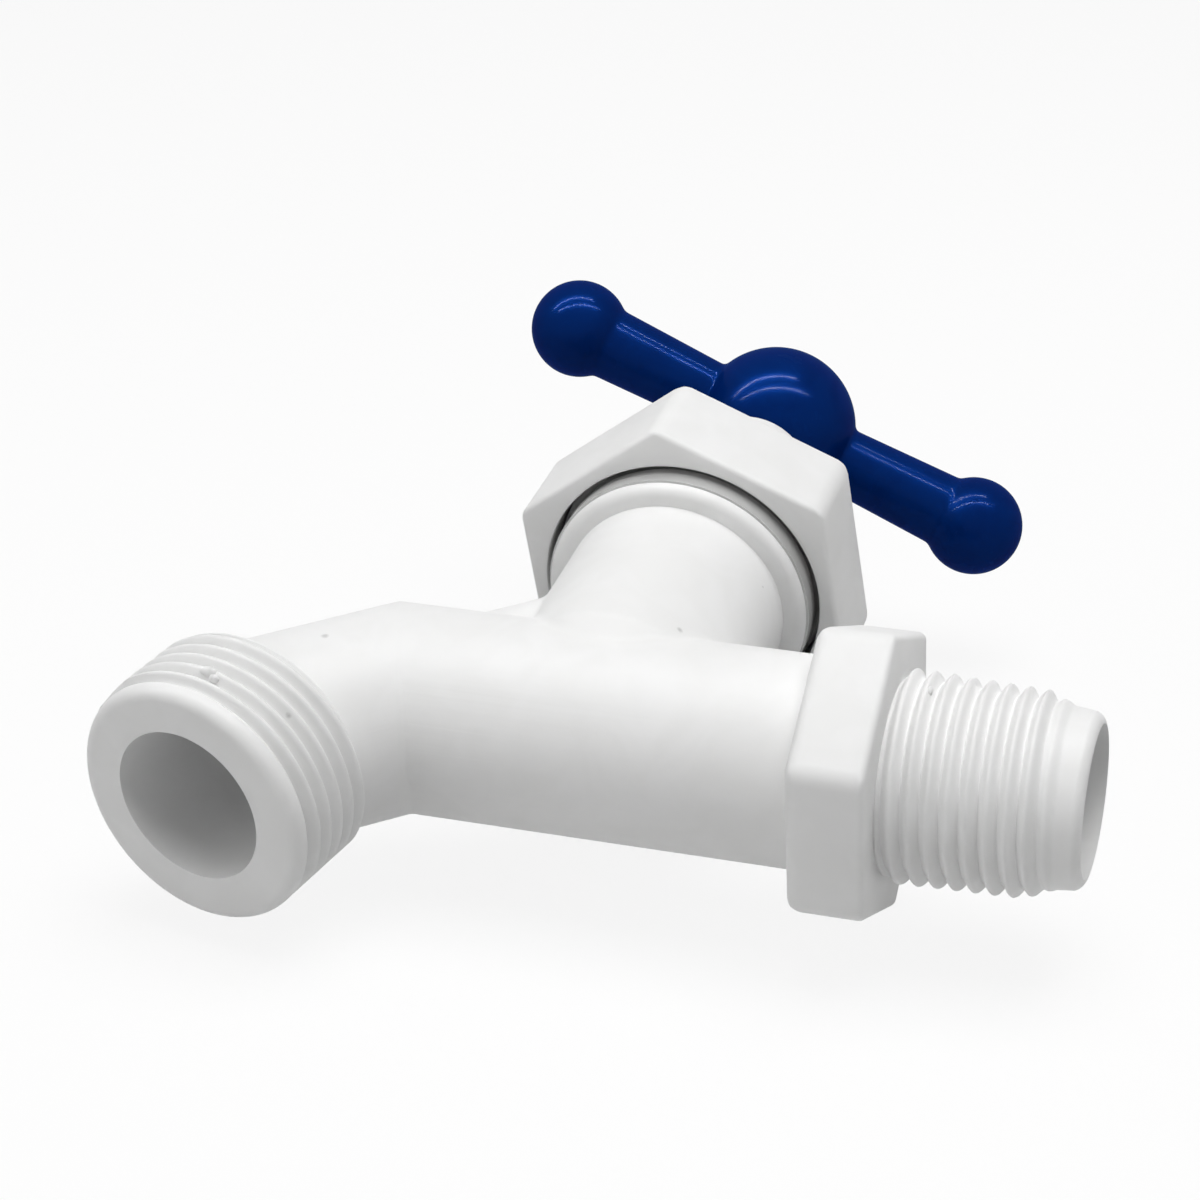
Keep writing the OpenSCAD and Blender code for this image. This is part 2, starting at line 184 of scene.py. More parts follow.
def arcPoints(centre, radius, fromDegrees, toDegrees, count=6):
    # points of an arc in an outline, from +radius (0 degrees) towards +height (90 degrees)
    angles = [math.radians(fromDegrees + (toDegrees - fromDegrees) * i / count) for i in range(count + 1)]
    return [(centre[0] + radius * math.cos(a), centre[1] + radius * math.sin(a)) for a in angles]


# pipe threads

threadShape = {"pitch": 1.814 * mm, "points": 14, "stepsPerTurn": 96, "mergeGap": 0.01 * mm}


def addThread(name, coreRadius, ridge, length, lead, sharpness=1.0):
    # a right-handed thread on a core that stands on z = 0, cut flat at both ends
    # lead turns the thread: a crest passes z = 0 at that angle; more sharpness makes narrower crests
    # coreRadius(z, angle) and ridge(z, angle) give the core's radius and the ridge's height at a place
    pitch, count = threadShape["pitch"], threadShape["points"]
    mesh = bpy.data.meshes.new(name)
    profile = [(coreRadius(0, 0), 0, pitch * i / count) for i in range(count + 1)]
    mesh.from_pydata(profile, [(i, i + 1) for i in range(count)], [])
    piece = bpy.data.objects.new(name, mesh)
    bpy.context.scene.collection.objects.link(piece)
    turns = int(length / pitch) + 3
    screw = piece.modifiers.new("helix", "SCREW")
    screw.axis = "Z"
    screw.screw_offset = pitch
    screw.iterations = turns
    screw.steps = threadShape["stepsPerTurn"]
    screw.render_steps = threadShape["stepsPerTurn"]
    screw.use_merge_vertices = True
    screw.merge_threshold = threadShape["mergeGap"]
    applyModifiers(piece)
    tidyNormals(piece)
    for vertex in piece.data.vertices:
        point = vertex.co
        point.z -= 1.5 * pitch
        angle = math.atan2(point.y, point.x)
        phase = 2 * math.pi * point.z / pitch - angle + lead
        crest = ((1 + math.cos(phase)) / 2) ** sharpness
        radius = coreRadius(point.z, angle) + ridge(point.z, angle) * crest
        point.x, point.y = radius * math.cos(angle), radius * math.sin(angle)
    cutAt(piece, (0, 0, 0), (0, 0, -1))
    cutAt(piece, (0, 0, length), (0, 0, 1))
    tidyNormals(piece)
    return piece


def ramp(value, start, end):
    return max(0.0, min(1.0, (value - start) / (end - start)))


# the tap's own places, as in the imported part

valveAxis = Vector((29.5, 0, 0)) * mm
firstBend = Vector((50, 0, 0)) * mm
spoutSlope = math.radians(40)
outletSlope = math.radians(77)
spoutWay = Vector((math.cos(spoutSlope), 0, -math.sin(spoutSlope)))
outletWay = Vector((math.cos(outletSlope), 0, -math.sin(outletSlope)))
secondBend = firstBend + spoutWay * 15 * mm
outletFace = secondBend + outletWay * 12 * mm
up = Vector((0, 0, 1))
toInlet = Vector((-1, 0, 0))

print("frame loaded, faces", sum(len(node.data.polygons) for node in cad.values()))


# the one-piece body

bodyShape = {
    "tube": 10.4 * mm, "crease": 0.012 * mm, "creaseGap": 0.003 * mm, "voxel": 0.36 * mm, "softPasses": 4,
    "neck": 11.8 * mm, "neckTop": 26.2 * mm, "neckFlare": 3.6 * mm,
    "shoulder": 7.3 * mm, "shoulderLong": 22.8 * mm,
    "ringRadius": 13.9 * mm, "ringFoot": 25 * mm, "ringTop": 26.3 * mm, "ringRound": 1.2 * mm,
    "collarRadius": 14.12 * mm, "collarTop": 28.8 * mm, "grooveRadius": 12.5 * mm,
    "threadFoot": 30.9 * mm, "neckRoot": 13.9 * mm, "neckRidge": 0.8 * mm, "neckRim": 33 * mm,
    "hexagonFlats": 27 * mm, "hexagonDeep": 7.6 * mm, "hexagonRound": 1.4 * mm,
    "inletRoot": 9.05 * mm, "inletLong": 19.3 * mm, "inletTaper": 1 / 32, "inletSharp": 0.75,
    "inletRidge": 1.0 * mm, "inletLead": math.radians(278), "inletPlain": 2.5 * mm, "inletFade": 3 * mm,
    "inletTip": 0.3 * mm, "inletTipLong": 5 * mm, "lipRound": 1.3 * mm,
    "outletRoot": 12.02 * mm, "outletLong": 11.8 * mm, "outletRidge": 1.2 * mm, "outletSharp": 0.65,
    "outletCore": 1.1 * mm, "outletFlat": Vector((-0.725, -0.668, -0.1675)), "outletFlatRadius": 13 * mm,
    "outletRim": 12.85 * mm, "rimTop": 1.6 * mm, "rimRound": 1.35 * mm,
    "rimAside": Vector((0, -0.25, 0)) * mm,
    "inletBore": 7.4 * mm, "outletBore": 8.1 * mm, "spoutBore": 7.1 * mm, "passage": 5.2 * mm,
    "chamber": 9.6 * mm, "seatHeight": 10 * mm, "seatBore": 5 * mm, "seatWall": 1.8 * mm,
}
mitre = (Vector((1, 0, 0)) + spoutWay).normalized()  # across the crease between tube and spout


def addPipes(radius):
    # tube and spout, cut where they meet in the mitred bend
    tube = addRod("tube", radius, Vector((1 * mm, 0, 0)), firstBend + Vector((10 * mm, 0, 0)), 160)
    cutAt(tube, firstBend, mitre)
    spout = addRod("spout", radius, firstBend - spoutWay * 10 * mm, secondBend, 160)
    cutAt(spout, firstBend, -mitre)
    return tube, spout


def makeShell():
    # tube, spout, neck, sloping shoulder and elbow under one soft skin
    s = bodyShape
    tube, spout = addPipes(s["tube"])
    elbow = addBall("elbow", s["tube"] + 0.1 * mm, secondBend)
    shoulder = addRod("shoulder", s["shoulder"], firstBend - spoutWay * s["shoulderLong"], firstBend)
    neckOutline = [(0, 0), (s["tube"] - 0.4 * mm, 0), (s["neck"], s["neckFlare"]),
                   (s["neck"], s["neckTop"]), (0, s["neckTop"])]
    neck = placed(addTurned("neck", neckOutline), valveAxis, up)
    shell = joined("tapBody", [tube, spout, elbow, shoulder, neck])
    blendTogether(shell, s["voxel"], s["softPasses"])
    # the pipes once more, a hair wider, for a crisp crease where they meet
    for pipe in addPipes(s["tube"] + s["crease"]):
        combine(shell, pipe, "UNION")
    return shell


def addNeckRing():
    # the rounded ring at the neck's top, and over it the plain collar and groove below the thread
    s = bodyShape
    middle = (s["ringRadius"] - s["ringRound"], s["ringFoot"] + s["ringRound"])
    outline = [(0, s["ringFoot"]), (s["neck"] - 0.5 * mm, s["ringFoot"])]
    outline += arcPoints(middle, s["ringRound"], -90, 0, 10)
    top = s["threadFoot"] + 0.1 * mm  # a little way into the thread
    outline += [(s["ringRadius"], s["ringTop"] - 0.1 * mm), (s["ringRadius"] - 0.1 * mm, s["ringTop"]),
                (s["collarRadius"], s["ringTop"]), (s["collarRadius"], s["collarTop"]),
                (s["grooveRadius"], s["collarTop"]), (s["grooveRadius"], top), (0, top)]
    return placed(addTurned("neckRing", outline, 160), valveAxis, up)


def addHexagon():
    # the spanner hexagon has its corners at the sides, and its softest edges towards the tube
    s = bodyShape
    corner = s["hexagonFlats"] / math.sqrt(3)
    bpy.ops.mesh.primitive_cylinder_add(
        vertices=6, radius=corner, depth=s["hexagonDeep"],
        location=(s["hexagonDeep"] / 2, 0, 0), rotation=(0, math.radians(90), 0))
    hexagon = renamed("hexagon")
    settle(hexagon)

    def softness(a, b):
        onTubeSide = min(a.x, b.x) > s["hexagonDeep"] - 0.1 * mm
        onThreadSide = max(a.x, b.x) < 0.1 * mm
        return 1.0 if onTubeSide else 0.5 if onThreadSide else 0.9

    roundEdges(hexagon, s["hexagonRound"], 6, softness)
    return hexagon


def addInletThread():
    # a tapered thread that fades out before the open end, where the core draws in a little
    s = bodyShape
    long = s["inletLong"]
    plain = long - s["inletPlain"]

    def core(z, angle):
        taper = s["inletTaper"] * (long / 2 - z)
        return s["inletRoot"] + taper - s["inletTip"] * ramp(z, long - s["inletTipLong"], long - 1 * mm)

    def ridge(z, angle):
        return s["inletRidge"] * ramp(z, 0.2 * mm, 0.9 * mm) * ramp(z, plain, plain - s["inletFade"])

    thread = addThread("inletThread", core, ridge, long, s["inletLead"], s["inletSharp"])
    # the open end has a rounded lip
    tipRadius = core(long, 0)
    lip = [(0, -1 * mm), (tipRadius + 4 * mm, -1 * mm), (tipRadius + 4 * mm, long - 3 * mm)]
    lip += arcPoints((tipRadius + 0.1 * mm - s["lipRound"], long - s["lipRound"]), s["lipRound"], 0, 90, 10)
    lip += [(0, long)]
    combine(thread, addTurned("lip", lip), "INTERSECT")
    return placed(thread, Vector((0.3 * mm, 0, 0)), toInlet)


def addOutletThread():
    # its ridges run out into smooth flats on the two sides where the halves of the mould met
    s = bodyShape
    long, rimTop = s["outletLong"], s["rimTop"]
    flatWay = (-outletWay).to_track_quat("Z", "Y").inverted() @ s["outletFlat"]
    flatAngle = math.atan2(flatWay.y, flatWay.x)

    def threaded(angle):
        return ramp(abs(math.sin(angle - flatAngle)), 0.06, 0.22)

    def core(z, angle):
        flat = (1 - threaded(angle)) * ramp(z, rimTop, rimTop + 1 * mm)
        return s["outletRoot"] + (s["outletFlatRadius"] - s["outletRoot"]) * flat

    def ridge(z, angle):
        rise = ramp(z, rimTop, rimTop + 0.8 * mm) * ramp(z, long, long - 0.6 * mm)
        return s["outletRidge"] * rise * threaded(angle)

    thread = addThread("outletThread", core, ridge, long, 0, s["outletSharp"])
    cutAt(thread, (0, 0, s["outletCore"]), (0, 0, -1))
    radius, soft = s["outletRim"], s["rimRound"]
    rim = [(0, 0), (radius - soft, 0)]
    rim += arcPoints((radius - soft, soft), soft, -90, 0, 10)
    under = rimTop + 0.6 * mm  # its slope ends inside the thread
    rim += [(radius, rimTop), (radius - 0.5 * mm, under), (0, under)]
    thread = placed(thread, outletFace, -outletWay)
    # the rim was moulded a little out of line with the thread
    rimPlace = outletFace + s["rimAside"]
    combine(thread, placed(addTurned("rim", rim, 160), rimPlace, -outletWay), "UNION")
    return thread


def addNeckThread():
    # the cap nut screws on here
    s = bodyShape
    start = s["threadFoot"]
    long = s["neckRim"] - start

    def core(z, angle):
        return s["neckRoot"]

    def ridge(z, angle):
        return s["neckRidge"] * ramp(z, 0, 0.4 * mm) * ramp(z, long, long - 0.4 * mm)

    thread = addThread("neckThread", core, ridge, long, math.radians(40))
    return placed(thread, valveAxis + up * start, up)


# small nubs that the mould left on the threads: place, and radii along X, Y and Z, in mm
nubs = (
    ((62.2, 13.0, -17.3), (0.9, 0.5, 0.45)), ((61.4, 12.7, -17.9), (0.5, 0.45, 0.35)),
    ((-3.2, 9.95, 0.0), (0.3, 0.4, 0.55)),
)


def makeBody():
    s = bodyShape
    body = makeShell()
    print("shell", len(body.data.polygons))
    for addForm in (addNeckRing, addHexagon, addInletThread, addOutletThread, addNeckThread):
        combine(body, addForm(), "UNION")
    for place, radii in nubs:
        bpy.ops.mesh.primitive_uv_sphere_add(
            segments=24, ring_count=12, radius=1,
            location=Vector(place) * mm, scale=[r * mm for r in radii])
        nub = renamed("nub")
        settle(nub)
        combine(body, nub, "UNION")
    print("with hexagon and threads", len(body.data.polygons))
    # the way that the water takes, cut out from the inlet to the outlet
    seat = valveAxis + up * s["seatHeight"]
    rim = valveAxis + up * (s["neckRim"] + mm)
    combine(body, addRod("chamber", s["chamber"], seat, rim), "DIFFERENCE")
    inShoulder = firstBend - spoutWay * s["shoulderLong"]
    combine(body, addRod("passage", s["passage"], inShoulder, secondBend), "DIFFERENCE")
    combine(body, addRod("spoutBore", s["spoutBore"], firstBend, secondBend), "DIFFERENCE")
    combine(body, addRod("seat", s["seatBore"] + s["seatWall"], valveAxis, seat), "UNION")
    inletEnd = valveAxis - toInlet * (s["seatBore"] - mm)
    combine(body, addRod("inletBore", s["inletBore"], toInlet * 20 * mm, inletEnd), "DIFFERENCE")
    combine(body, addRod("seatBore", s["seatBore"], valveAxis, seat + up * mm), "DIFFERENCE")
    beyond = outletFace + outletWay * mm
    combine(body, addRod("outletBore", s["outletBore"], secondBend, beyond), "DIFFERENCE")
    combine(body, addBall("elbowBore", s["outletBore"], secondBend), "DIFFERENCE")
    smoothShading(body)
    for edge in body.data.edges:
        ends = [body.data.vertices[i].co for i in edge.vertices]
        if all(abs((end - firstBend).dot(mitre)) < s["creaseGap"] for end in ends):
            edge.use_edge_sharp = True
    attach(body, "root")
    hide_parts("faucet_body")
    print("body", len(body.data.polygons))
    return body


body = makeBody()


# the cap nut

nutShape = {
    "flats": 33.2 * mm, "foot": 27.8 * mm, "height": 11.4 * mm, "turn": math.radians(23),
    "round": 1.3 * mm, "bore": 14.9 * mm, "mouth": 15.2 * mm, "top": 2.2 * mm, "collar": 8.8 * mm,
}


def makeCapNut():
    s = nutShape
    foot = valveAxis + up * s["foot"]
    top = foot + up * s["height"]
    # turn is where a corner points, and an unturned hexagon has a flat there
    bpy.ops.mesh.primitive_cylinder_add(
        vertices=6, radius=s["flats"] / math.sqrt(3), depth=s["height"],
        location=(foot + top) / 2, rotation=(0, 0, s["turn"] + math.radians(30)))
    nut = renamed("capNut")
    settle(nut)

    def softness(a, b):
        atTop = min(a.z, b.z) > top.z - 0.1 * mm
        atFoot = max(a.z, b.z) < foot.z + 0.1 * mm
        return 0.8 if atTop else 0.45 if atFoot else 1.0

    roundEdges(nut, s["round"], 5, softness)
    inside = top - up * s["top"]
    combine(nut, addRod("nutBore", s["bore"], foot - up * mm, inside, 160), "DIFFERENCE")
    below, above = foot - up * 0.2 * mm, foot + up * 0.1 * mm
    combine(nut, addRod("nutMouth", s["mouth"], below, above, 160, s["bore"]), "DIFFERENCE")
    combine(nut, addRod("nutCollar", s["collar"], inside - up * mm, top + up * mm), "DIFFERENCE")
    smoothShading(nut)
    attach(nut, "root")
    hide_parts("cap_nut")
    print("cap nut", len(nut.data.polygons))
    return nut


capNut = makeCapNut()


# the bonnet, whose tower comes up through the nut

bonnetShape = {
    "plugRadius": 9.5 * mm, "plugFoot": 31.4 * mm, "flangeRadius": 14 * mm,
    "flangeFoot": 34.4 * mm, "flangeTop": 36.95 * mm,
    "lowRadius": 8.7 * mm, "topRadius": 6.7 * mm, "taperFoot": 47.8 * mm, "taperTop": 49.8 * mm,
    "top": 56.4 * mm, "edge": 1.2 * mm,
    "screwBore": 5.5 * mm, "screwBoreTop": 46.8 * mm, "shankBore": 3.25 * mm, "sealRecess": 5 * mm,
}


def makeBonnet():
    s = bonnetShape
    # up the outside, over the top, and down through the bore for the stem
    outline = [(s["screwBore"], s["plugFoot"]), (s["plugRadius"], s["plugFoot"]),
               (s["plugRadius"], s["flangeFoot"]), (s["flangeRadius"], s["flangeFoot"]),
               (s["flangeRadius"], s["flangeTop"]), (s["lowRadius"], s["flangeTop"]),
               (s["lowRadius"], s["taperFoot"]), (s["topRadius"], s["taperTop"])]
    outline += arcPoints((s["topRadius"] - s["edge"], s["top"] - s["edge"]), s["edge"], 0, 90, 8)
    outline += [(s["sealRecess"], s["top"]), (s["sealRecess"], s["taperTop"]),
                (s["shankBore"], s["taperTop"]), (s["shankBore"], s["screwBoreTop"]),
                (s["screwBore"], s["screwBoreTop"]), (s["screwBore"], s["plugFoot"])]
    bonnet = placed(addTurned("bonnetTower", outline), valveAxis, up)
    smoothShading(bonnet)
    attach(bonnet, "root")
    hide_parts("bonnet")
    print("bonnet", len(bonnet.data.polygons))
    return bonnet


bonnet = makeBonnet()


# the blue handle

handleShape = {
    "middle": 66.1 * mm, "turn": math.radians(23.5), "hub": 9.2 * mm, "reach": 25.4 * mm,
    "ball": 5.6 * mm, "armRoot": 3.5 * mm, "armTip": 4.25 * mm,
    "mouth": 3.3 * mm, "mouthTop": 58 * mm, "socket": 4.5 * mm, "socketTop": 66 * mm,
    "screwHole": 1.45 * mm, "headRecess": 3.2 * mm, "headSeat": 69.7 * mm,
    "voxel": 0.26 * mm, "softPasses": 6,
}


def makeHandle():
    s = handleShape
    centre = valveAxis + up * s["middle"]
    along = Vector((math.cos(s["turn"]), math.sin(s["turn"]), 0))
    solids = [addBall("hub", s["hub"], centre, 96)]
    for way in (along, -along):
        solids.append(addRod("arm", s["armRoot"], centre, centre + way * s["reach"], 96, s["armTip"]))
        solids.append(addBall("grip", s["ball"], centre + way * s["reach"], 96))
    handle = joined("tapHandle", solids)
    blendTogether(handle, s["voxel"], s["softPasses"])
    print("handle skin", len(handle.data.polygons))
    low = valveAxis + up * (s["middle"] - s["hub"] - mm)
    combine(handle, addRod("mouth", s["mouth"], low, valveAxis + up * s["mouthTop"], 64), "DIFFERENCE")
    bpy.ops.mesh.primitive_cube_add(
        size=1, location=valveAxis + up * (s["mouthTop"] + s["socketTop"]) / 2,
        scale=(s["socket"], s["socket"], s["socketTop"] - s["mouthTop"] + 0.2 * mm))
    socket = renamed("socket")
    settle(socket)
    combine(handle, socket, "DIFFERENCE")
    over = valveAxis + up * (s["middle"] + s["hub"] + mm)
    combine(handle, addRod("screwHole", s["screwHole"], centre - up * mm, over, 32), "DIFFERENCE")
    headSeat = valveAxis + up * s["headSeat"]
    combine(handle, addRod("headRecess", s["headRecess"], headSeat, over, 64), "DIFFERENCE")
    smoothShading(handle)
    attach(handle, "spindle")
    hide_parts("handle")
    print("handle", len(handle.data.polygons))
    return handle


tapHandle = makeHandle()


# the screw that holds the handle on, with a domed head and a cross in it

screwShape = {
    "seat": 69.75 * mm, "shank": 1.4 * mm, "long": 9 * mm,
    "head": 3 * mm, "rimHeight": 0.7 * mm, "domeHeight": 1.8 * mm,
    "crossWide": 0.9 * mm, "crossLong": 3.4 * mm, "crossDeep": 1.2 * mm,
}


def makeHandleScrew():
    s = screwShape
    # the dome is part of a ball whose foot circle is the head's rim
    rise = s["domeHeight"] - s["rimHeight"]
    ballRadius = (s["head"] ** 2 + rise ** 2) / (2 * rise)
    spread = math.degrees(math.asin(s["head"] / ballRadius))
    outline = [(0, -s["long"]), (s["shank"] - 0.3 * mm, -s["long"]),
               (s["shank"], -s["long"] + 0.5 * mm), (s["shank"], 0),
               (s["head"] - 0.15 * mm, 0), (s["head"], 0.15 * mm)]
    outline += arcPoints((0, s["domeHeight"] - ballRadius), ballRadius, 90 - spread, 90, 10)
    screw = placed(addTurned("handleScrew", outline, 64), valveAxis + up * s["seat"], up)
    top = valveAxis + up * (s["seat"] + s["domeHeight"])
    for wide, long in ((s["crossWide"], s["crossLong"]), (s["crossLong"], s["crossWide"])):
        bpy.ops.mesh.primitive_cube_add(size=1, location=top, scale=(wide, long, 2 * s["crossDeep"]))
        slot = renamed("cross")
        settle(slot)
        combine(screw, slot, "DIFFERENCE")
    smoothShading(screw)
    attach(screw, "spindle")
    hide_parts("handle_screw")
    print("handle screw", len(screw.data.polygons))
    return screw


handleScrew = makeHandleScrew()


# finishes

def newGroup(name, inputs, outputs):
    group = bpy.data.node_groups.new(name, "ShaderNodeTree")
    for label, kind, value in inputs:
        socket = group.interface.new_socket(label, in_out="INPUT", socket_type=kind)
        if value is not None:
            socket.default_value = value
    for label in outputs:
        group.interface.new_socket(label, in_out="OUTPUT", socket_type="NodeSocketFloat")
    return group, group.nodes.new("NodeGroupInput"), group.nodes.new("NodeGroupOutput")


def addNode(tree, kind, settings=None, values=None, **links):
    # settings are the node's own choices, values its sockets' numbers, links its sockets' sources
    node = tree.nodes.new(kind)
    for key, value in (settings or {}).items():
        setattr(node, key, value)
    for key, value in (values or {}).items():
        node.inputs[key].default_value = value
    for key, source in links.items():
        tree.links.new(source, node.inputs[key.replace("_", " ")])
    return node


def mapRange(tree, source, low, high, toLow, toHigh):
    node = addNode(tree, "ShaderNodeMapRange", values={
        "From Min": low, "From Max": high, "To Min": toLow, "To Max": toHigh}, Value=source)
    return node.outputs["Result"]


def mathNode(tree, how, first, second):
    node = tree.nodes.new("ShaderNodeMath")
    node.operation = how
    for socket, source in ((node.inputs[0], first), (node.inputs[1], second)):
        if isinstance(source, (int, float)):
            socket.default_value = source
        else:
            tree.links.new(source, socket)
    return node.outputs[0]


def mixColours(tree, share, first, second):
    # a Mix node keeps its colours at inputs 6 and 7 and its mixed colour at output 2
    node = addNode(tree, "ShaderNodeMix", {"data_type": "RGBA"})
    tree.links.new(share, node.inputs[0])
    for socket, source in ((node.inputs[6], first), (node.inputs[7], second)):
        if isinstance(source, tuple):
            socket.default_value = source
        else:
            tree.links.new(source, socket)
    return node.outputs[2]


def makeMouldedSkin():
    # the skin of a moulded plastic piece: fine grain and slow flow waves
    inputs = (("Place", "NodeSocketVector", None), ("Grain", "NodeSocketFloat", 4200.0),
              ("Flow", "NodeSocketFloat", 160.0))
    group, start, end = newGroup("mouldedSkin", inputs, ("Height", "Waves"))
    grain = addNode(group, "ShaderNodeTexNoise", values={"Detail": 3.0, "Roughness": 0.6},
                    Vector=start.outputs["Place"], Scale=start.outputs["Grain"])
    flow = addNode(group, "ShaderNodeTexNoise", values={"Detail": 2.0, "Distortion": 0.8},
                   Vector=start.outputs["Place"], Scale=start.outputs["Flow"])
    waves = mathNode(group, "MULTIPLY", flow.outputs[0], 0.75)
    height = mathNode(group, "ADD", mathNode(group, "MULTIPLY", grain.outputs[0], 0.25), waves)
    group.links.new(height, end.inputs["Height"])
    group.links.new(flow.outputs[0], end.inputs["Waves"])
    return group


# dark specks in the white plastic: place and radius in mm, and how dark
specks = (
    ((55.69, 10.39, -4.83), 0.45, 0.5), ((54.39, 9.29, -17.25), 0.35, 0.6),
    ((22.73, 9.65, 5.43), 0.4, 0.6), ((19.0, 5.36, 22.12), 0.16, 0.7),
    ((19.6, 5.9, 25.0), 0.22, 1.0), ((62.0, 13.2, -17.2), 0.5, 0.5),
)
# painted shade on the collar under the cap nut: how far out it reaches, how soft its edge is, and how dark
collarShadeShape = {"reach": 14.35 * mm, "fade": 0.15 * mm, "dark": 0.85}


def addPaintedCollarShade(group, place):
    # painted shade: a mask that darkens the plain collar under the cap nut, where the nut's shadow falls;
    # inside a radius, and from the ring to the thread
    laid = addNode(group, "ShaderNodeMapping", {"vector_type": "POINT"},
                   {"Location": (-valveAxis.x, 0.0, 0.0), "Scale": (1.0, 1.0, 0.0)}, Vector=place)
    outwards = addNode(group, "ShaderNodeVectorMath", {"operation": "LENGTH"})
    group.links.new(laid.outputs[0], outwards.inputs[0])
    height = addNode(group, "ShaderNodeSeparateXYZ", Vector=place).outputs["Z"]
    reach, dark = collarShadeShape["reach"], collarShadeShape["dark"]
    low, high = bodyShape["ringTop"], bodyShape["threadFoot"]
    inside = mapRange(group, outwards.outputs["Value"], reach, reach + collarShadeShape["fade"], dark, 0.0)
    above = mapRange(group, height, low - 0.05 * mm, low + 0.05 * mm, 0.0, 1.0)
    below = mapRange(group, height, high, high + 0.5 * mm, 1.0, 0.0)
    return mathNode(group, "MULTIPLY", mathNode(group, "MULTIPLY", inside, above), below)


def makeSpecksAndPaintedShade():
    # a soft ragged mask at every speck, and the painted shade on the collar under the cap nut
    group, start, end = newGroup("specks", (("Place", "NodeSocketVector", None),), ("SpeckAndShade",))
    edges = addNode(group, "ShaderNodeTexNoise", values={"Scale": 3000.0}, Vector=start.outputs["Place"])
    ragged = mathNode(group, "MULTIPLY", edges.outputs[0], 0.25 * mm)
    mask = 0.0
    for place, radius, dark in specks:
        apart = addNode(group, "ShaderNodeVectorMath", {"operation": "DISTANCE"},
                        {1: [v * mm for v in place]})
        group.links.new(start.outputs["Place"], apart.inputs[0])
        distance = mathNode(group, "ADD", apart.outputs["Value"], ragged)
        soft = mapRange(group, distance, 0.5 * radius * mm, (radius + 0.15) * mm, dark, 0.0)
        mask = mathNode(group, "MAXIMUM", soft, mask)
    # the painted collar shade joins the speck mask, so it takes the speck colour
    mask = mathNode(group, "MAXIMUM", addPaintedCollarShade(group, start.outputs["Place"]), mask)
    group.links.new(mask, end.inputs["SpeckAndShade"])
    return group


def makeHandling():
    # what handling leaves: patches of faint smears, and hair-fine scratches in two directions
    inputs = (("Place", "NodeSocketVector", None), ("Patches", "NodeSocketFloat", 90.0),
              ("Scratches", "NodeSocketFloat", 900.0))
    group, start, end = newGroup("handling", inputs, ("Smear", "Scratch"))
    patches = addNode(group, "ShaderNodeTexNoise", values={"Detail": 4.0, "Roughness": 0.7},
                      Vector=start.outputs["Place"], Scale=start.outputs["Patches"])
    marks = []
    scratchTurns = ((0.3, 0.9, 0.2), (1.2, -0.4, 0.8))
    for turn in scratchTurns:
        laid = addNode(group, "ShaderNodeMapping", values={"Rotation": turn, "Scale": (1.0, 0.06, 1.0)},
                       Vector=start.outputs["Place"])
        streaks = addNode(group, "ShaderNodeTexNoise", values={"Detail": 2.0},
                          Vector=laid.outputs[0], Scale=start.outputs["Scratches"])
        marks.append(mapRange(group, streaks.outputs[0], 0.68, 0.74, 0.0, 1.0))
    group.links.new(mapRange(group, patches.outputs[0], 0.45, 0.7, 0.0, 1.0), end.inputs["Smear"])
    group.links.new(mathNode(group, "MAXIMUM", marks[0], marks[1]), end.inputs["Scratch"])
    return group


def makeTurningMarks():
    # fine rings round an upright axis, as a lathe or a die leaves on metal
    inputs = (("Place", "NodeSocketVector", None), ("Rings", "NodeSocketFloat", 2600.0))
    group, start, end = newGroup("turningMarks", inputs, ("Height", "Tone"))
    laid = addNode(group, "ShaderNodeMapping", {"vector_type": "POINT"},
                   {"Location": (-valveAxis.x, 0.0, 0.0)}, Vector=start.outputs["Place"])
    rings = addNode(group, "ShaderNodeTexWave",
                    {"wave_type": "RINGS", "rings_direction": "Z", "wave_profile": "SIN"},
                    {"Distortion": 1.5, "Detail": 2.0, "Detail Scale": 2.0},
                    Vector=laid.outputs[0], Scale=start.outputs["Rings"])
    tarnish = addNode(group, "ShaderNodeTexNoise", values={"Scale": 500.0, "Detail": 5.0},
                      Vector=start.outputs["Place"])
    group.links.new(rings.outputs[1], end.inputs["Height"])
    group.links.new(mapRange(group, tarnish.outputs[0], 0.4, 0.7, 0.0, 1.0), end.inputs["Tone"])
    return group


mouldedSkin = makeMouldedSkin()
speckAndShadeGroup = makeSpecksAndPaintedShade()
handling = makeHandling()
turningMarks = makeTurningMarks()


def newMaterial(name):
    material = bpy.data.materials.new(name)
    material.use_nodes = True
    tree = material.node_tree
    tree.nodes.clear()
    shader = tree.nodes.new("ShaderNodeBsdfPrincipled")
    end = tree.nodes.new("ShaderNodeOutputMaterial")
    tree.links.new(shader.outputs[0], end.inputs["Surface"])
    place = tree.nodes.new("ShaderNodeTexCoord").outputs["Object"]
    return material, tree, shader, place


def useGroup(tree, group, place, **values):
    node = tree.nodes.new("ShaderNodeGroup")
    node.node_tree = group
    tree.links.new(place, node.inputs["Place"])
    for key, value in values.items():
        node.inputs[key].default_value = value
    return node


def setBump(tree, shader, height, strength, distance):
    bump = addNode(tree, "ShaderNodeBump", values={"Strength": strength, "Distance": distance}, Height=height)
    tree.links.new(bump.outputs[0], shader.inputs["Normal"])


